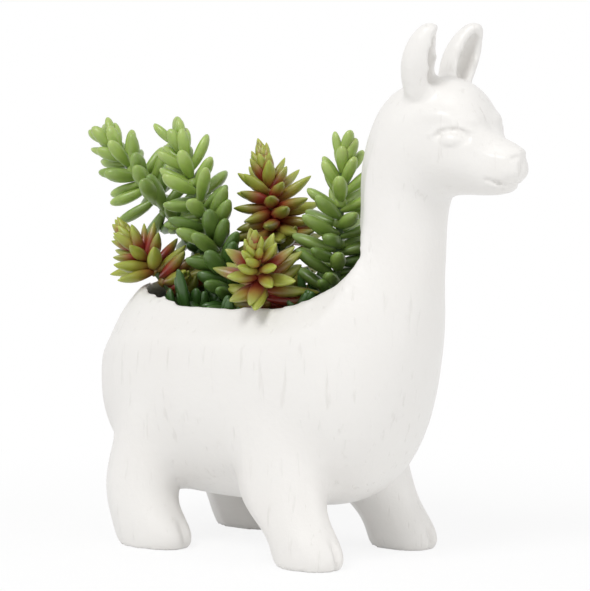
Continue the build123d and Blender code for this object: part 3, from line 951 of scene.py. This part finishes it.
def whorl_mesh(name, plan, first, last):
    """Mesh of the leaves whose depths lie from first to last, and the collar that they grow from."""
    foot, run, rise = plan["stem"]
    points, layers = fitted_leaves(plan, (plan["depths"] >= first) & (plan["depths"] < last))
    collar = collar_grid(foot, run, rise - first - COLLAR_HEIGHT / 2)
    quads, fans = grid_faces(len(points) + 1, LEAF_ALONG, LEAF_AROUND)
    ends = (0.12, min(first / plan["style"]["old_depth"], 1), 0.6 * plan["style"]["blush"], 0.0)
    attributes = {
        key: np.concatenate([layer.ravel(), np.full(len(collar), end)])
        for key, layer, end in zip(LEAF_LAYERS, layers, ends)
    }
    return mesh_from_arrays(name, np.concatenate([points.reshape(-1, 3), collar]), quads, fans, attributes)


def whorl_nodes(plant):
    """Names of a plant's whorl nodes from the tip down."""
    prefix = plant + "_whorl_"
    nodes = [node for node in frame["nodes"] if node.startswith(prefix)]
    return sorted(nodes, key=lambda node: int(node[len(prefix):]))


def dress_plant(plant, material):
    """A dressed whorl for each whorl node of a plant, the lowest one running down to the foam."""
    plan = planted()[plant]
    nodes = whorl_nodes(plant)
    for index, node in enumerate(nodes):
        start = index * plan["style"]["spacing"]
        end = start + plan["style"]["spacing"] if index < len(nodes) - 1 else math.inf
        piece = add_object(node + "_dressed", whorl_mesh(node + "_dressed", plan, start, end), material)
        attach(piece, plant + "_plant")
        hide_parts(node)


def lay_low_leaves(material):
    """One piece of all the low leaves between the stems, which moves with the foam."""
    points, layers = fitted_leaves(planted()[LOW_LEAVES], True)
    quads, fans = grid_faces(len(points), LEAF_ALONG, LEAF_AROUND)
    attributes = {key: layer.ravel() for key, layer in zip(LEAF_LAYERS, layers)}
    mesh = mesh_from_arrays(LOW_LEAVES, points.reshape(-1, 3), quads, fans, attributes)
    piece = add_object(LOW_LEAVES, mesh, material)
    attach(piece, "arrangement")


# Settings, operators and panel


def colour_setting(name, description, default):
    return bpy.props.FloatVectorProperty(
        name=name, description=description, default=default, subtype="COLOR"
    )


def share_setting(name, description, default):
    return bpy.props.FloatProperty(
        name=name, description=description, default=default, min=0, max=1, subtype="FACTOR"
    )


class ShellSettings(bpy.types.PropertyGroup):
    voxel: bpy.props.FloatProperty(
        name="Voxel", description="Edge of the cubes that the shell is rebuilt from, in mm",
        default=1.65, min=0.8,
    )
    crease_rounds: bpy.props.IntProperty(
        name="Crease rounds", description="How often the hollow creases at the legs are filled", default=70
    )
    rim_rounds: bpy.props.IntProperty(
        name="Rim rounds", description="How often the rims of ears and mouth are evened out", default=32
    )
    eye_rounds: bpy.props.IntProperty(
        name="Eye rounds", description="How often the rims of the eyes are softened", default=10
    )
    wool_height: bpy.props.FloatProperty(
        name="Wool height", description="Height of the soft waves of the wool, in mm", default=0.10
    )
    glaze_colour: colour_setting("Glaze", "Colour of the glaze", (0.83, 0.815, 0.79))
    glaze_shade: colour_setting("Glaze shade", "Colour of the glaze's warmer patches", (0.80, 0.775, 0.745))
    # Stroke colour and strength: painted shade in the thin carved wool grooves.
    groove_shade_colour: colour_setting("Stroke", "Colour in the thin wool strokes", (0.52, 0.48, 0.44))
    groove_shade_strength: share_setting("Stroke strength", "How strongly the strokes are tinted", 0.16)
    glaze_roughness: share_setting("Glaze roughness", "Roughness of the satin glaze", 0.42)


class LeafSettings(bpy.types.PropertyGroup):
    green_young: colour_setting("Young green", "Leaves at the tips of the green plants", (0.34, 0.47, 0.10))
    # Old green is partly the colour of older leaves and partly painted shade low in the plants and among the
    # stems.
    green_old_and_shade: colour_setting("Old green", "Leaves low on the green plants", (0.045, 0.115, 0.020))
    green_tip: colour_setting("Green tip", "Paler tips of the green leaves", (0.47, 0.56, 0.19))
    red_young: colour_setting("Young rosette", "Inner rosette leaves", (0.36, 0.40, 0.055))
    red_old: colour_setting("Old rosette", "Outer rosette leaves", (0.20, 0.19, 0.03))
    red_tip: colour_setting("Rosette tip", "Bright tips of the rosette leaves", (0.46, 0.50, 0.07))
    red_root: colour_setting(
        "Rosette blush", "Crimson at the roots of the rosette leaves", (0.30, 0.03, 0.02)
    )
    leaf_patch: colour_setting("Leaf patch", "Darker cloudy patches on the leaves", (0.03, 0.07, 0.02))
    leaf_glow: share_setting("Leaf glow", "How much light passes into the soft leaves", 0.3)
    leaf_roughness: share_setting("Leaf roughness", "Roughness of the waxy leaves", 0.38)


class StageSettings(bpy.types.PropertyGroup):
    azimuth: bpy.props.FloatProperty(
        name="Azimuth", description="Angle of the camera about the llama", default=math.radians(38.9),
        subtype="ANGLE",
    )
    elevation: bpy.props.FloatProperty(
        name="Elevation", description="Height angle of the camera", default=math.radians(5.32),
        subtype="ANGLE",
    )
    distance: bpy.props.FloatProperty(
        name="Distance", description="Distance from the camera to its aim", default=1.2,
        unit="LENGTH",
    )
    aim: bpy.props.FloatVectorProperty(
        name="Aim", description="Where the camera looks, in the llama's frame, in mm",
        default=(7.76, 0.0, 102.7),
    )
    lens: bpy.props.FloatProperty(name="Lens", description="Focal length of the camera in mm", default=181.8)
    key_power: bpy.props.FloatProperty(
        name="Key", description="Power of the key lamp in watts", default=7.0
    )
    fill_power: bpy.props.FloatProperty(
        name="Fill", description="Power of the fill lamp in watts", default=2.0
    )
    sky_strength: bpy.props.FloatProperty(
        name="Sky", description="Strength of the even light", default=0.62
    )


class PLANTER_OT_shell(bpy.types.Operator):
    """Sculpt the glazed llama from its solid"""

    bl_idname = "planter.shell"
    bl_label = "Glazed llama"

    def execute(self, context):
        make_shell(context.scene.planter_shell)
        return {"FINISHED"}


class PLANTER_OT_foam(bpy.types.Operator):
    """Finish the foam block and the stems that stand in it"""

    bl_idname = "planter.foam"
    bl_label = "Foam and stems"

    def execute(self, context):
        # The foam's near-black green is partly its own dark green and partly painted shade inside the pot's
        # mouth.
        foam = moulded_material("dark_foam", (0.012, 0.022, 0.010), (0.03, 0.05, 0.018), 0.9, 900.0, 0.0015)
        stalk = moulded_material("stalk_plastic", (0.07, 0.13, 0.035), (0.12, 0.16, 0.05), 0.5, 500.0, 0.0003)
        for name, node in frame["nodes"].items():
            if name == "foam_block" or name.endswith("_stem"):
                node.data.materials.clear()
                node.data.materials.append(foam if name == "foam_block" else stalk)
        return {"FINISHED"}


class PLANTER_OT_green_plants(bpy.types.Operator):
    """Dress the three green plants with plump leaves"""

    bl_idname = "planter.green_plants"
    bl_label = "Green plants"

    def execute(self, context):
        settings = context.scene.planter_leaves
        material = leaf_material(
            "green_leaf", settings.green_young, settings.green_old_and_shade, settings.green_tip, settings.green_young,
            settings.green_tip, settings,
        )
        for plant in ("long_green", "middle_green", "neck_green"):
            dress_plant(plant, material)
        lay_low_leaves(material)
        return {"FINISHED"}


class PLANTER_OT_red_plants(bpy.types.Operator):
    """Dress the three rosettes with pointed leaves"""

    bl_idname = "planter.red_plants"
    bl_label = "Rosettes"

    def execute(self, context):
        settings = context.scene.planter_leaves
        material = leaf_material(
            "rosette_leaf", settings.red_young, settings.red_old, settings.red_tip, settings.red_root,
            settings.red_root, settings,
        )
        for plant in ("left_red", "back_red", "front_red"):
            dress_plant(plant, material)
        return {"FINISHED"}


# Metres: each lamp's name, its place from the aim (back, right, up) and its size
LAMPS = (("key", (0.7, -0.45, 0.9), 0.55), ("fill", (0.5, 0.9, 0.3), 0.8))
FLOOR_SIZE = 6.0
FLOOR_FADE = (0.10, 0.30)


def add_lamp(name, place, aim, size, power):
    lamp = bpy.data.lights.new(name, "AREA")
    lamp.shape = "DISK"
    lamp.size = size
    lamp.energy = power
    holder = bpy.data.objects.new(name, lamp)
    bpy.context.scene.collection.objects.link(holder)
    holder.location = place
    holder.rotation_euler = (aim - Vector(place)).to_track_quat("-Z", "Y").to_euler()


def seen_white(nodes, links, plain, share):
    """Shader that the camera and mirrors see as plain white by share, with the rest lit as usual."""
    light_path = add_node(nodes, "LightPath")
    either = add_node(nodes, "Math", operation="MAXIMUM")
    times = add_node(nodes, "Math", operation="MULTIPLY")
    white = add_node(nodes, "Emission")
    mix = add_node(nodes, "MixShader")
    join(
        links,
        (light_path.outputs["Is Camera Ray"], either.inputs[0]),
        (light_path.outputs["Is Glossy Ray"], either.inputs[1]),
        (either.outputs["Value"], times.inputs[0]),
        (share, times.inputs[1]),
        (times.outputs["Value"], mix.inputs["Fac"]),
        (plain, mix.inputs[1]),
        (white.outputs["Emission"], mix.inputs[2]),
    )
    return mix.outputs["Shader"]


def add_floor():
    """White floor, shaded near the feet and plain white to the camera farther out."""
    bpy.ops.mesh.primitive_plane_add(size=FLOOR_SIZE)
    floor = bpy.context.object
    floor.name = "floor"
    material, nodes, links, shader = new_material("white_floor")
    set_inputs(shader, {"Base Color": (0.95, 0.95, 0.95, 1), "Roughness": 0.8})
    place = add_node(nodes, "TexCoord")
    reach = add_node(nodes, "VectorMath", operation="LENGTH")
    near, far = FLOOR_FADE
    spans = {"From Min": near, "From Max": far, "To Min": 0.84, "To Max": 1.0}
    fade = add_node(nodes, "MapRange", spans, interpolation_type="SMOOTHSTEP")
    links.new(place.outputs["Object"], reach.inputs[0])
    links.new(reach.outputs["Value"], fade.inputs["Value"])
    surface = seen_white(nodes, links, shader.outputs["BSDF"], fade.outputs["Result"])
    links.new(surface, nodes["Material Output"].inputs["Surface"])
    floor.data.materials.append(material)


def add_world(scene, strength):
    """Even white light from all sides, which the camera sees as plain white."""
    world = bpy.data.worlds.new("even_light")
    scene.world = world
    world.use_nodes = True
    nodes, links = world.node_tree.nodes, world.node_tree.links
    sky = nodes["Background"]
    set_inputs(sky, {"Color": (1.0, 1.0, 1.0, 1), "Strength": strength})
    whole = nodes.new("ShaderNodeValue")
    whole.outputs["Value"].default_value = 1.0
    surface = seen_white(nodes, links, sky.outputs["Background"], whole.outputs["Value"])
    links.new(surface, nodes["World Output"].inputs["Surface"])


class PLANTER_OT_stage(bpy.types.Operator):
    """Set up the floor, the soft lamps, the even light and the camera"""

    bl_idname = "planter.stage"
    bl_label = "Stage"

    def execute(self, context):
        scene, settings = context.scene, context.scene.planter_stage
        aim = Vector(to_frame(np.array(settings.aim)))
        cosine, sine = math.cos(settings.azimuth), math.sin(settings.azimuth)
        flat = math.cos(settings.elevation)
        back = Vector((sine * flat, -cosine * flat, math.sin(settings.elevation)))
        right = Vector((cosine, sine, 0.0))
        camera = bpy.data.cameras.new("camera")
        camera.lens = settings.lens
        holder = bpy.data.objects.new("camera", camera)
        scene.collection.objects.link(holder)
        holder.location = aim + back * settings.distance
        holder.rotation_euler = (-back).to_track_quat("-Z", "Y").to_euler()
        scene.camera = holder

        for name, (behind, across, above), size in LAMPS:
            place = aim + back * behind + right * across + Vector(UP) * above
            add_lamp(name, place, aim, size, getattr(settings, name + "_power"))
        add_floor()
        add_world(scene, settings.sky_strength)
        scene.view_settings.view_transform = "Standard"
        return {"FINISHED"}


class PLANTER_PT_panel(bpy.types.Panel):
    bl_label = "Llama Planter"
    bl_idname = "PLANTER_PT_panel"
    bl_space_type = "VIEW_3D"
    bl_region_type = "UI"
    bl_category = "Planter"

    def draw(self, context):
        for operator in OPERATORS:
            self.layout.operator(operator.bl_idname)
        for group in SETTINGS:
            settings = getattr(context.scene, group)
            for key in settings.bl_rna.properties.keys():
                if key not in ("rna_type", "name"):
                    self.layout.prop(settings, key)


SETTINGS = {"planter_shell": ShellSettings, "planter_leaves": LeafSettings, "planter_stage": StageSettings}
OPERATORS = (
    PLANTER_OT_stage, PLANTER_OT_shell, PLANTER_OT_foam, PLANTER_OT_green_plants, PLANTER_OT_red_plants,
)


def register():
    for kind in (*SETTINGS.values(), *OPERATORS, PLANTER_PT_panel):
        bpy.utils.register_class(kind)
    for key, kind in SETTINGS.items():
        setattr(bpy.types.Scene, key, bpy.props.PointerProperty(type=kind))


def unregister():
    for key in SETTINGS:
        delattr(bpy.types.Scene, key)
    for kind in (PLANTER_PT_panel, *reversed(OPERATORS), *reversed(SETTINGS.values())):
        bpy.utils.unregister_class(kind)


def main():
    register()
    bpy.ops.planter.stage()
    bpy.ops.planter.shell()
    bpy.ops.planter.foam()
    bpy.ops.planter.green_plants()
    bpy.ops.planter.red_plants()


if __name__ == "__main__":
    main()
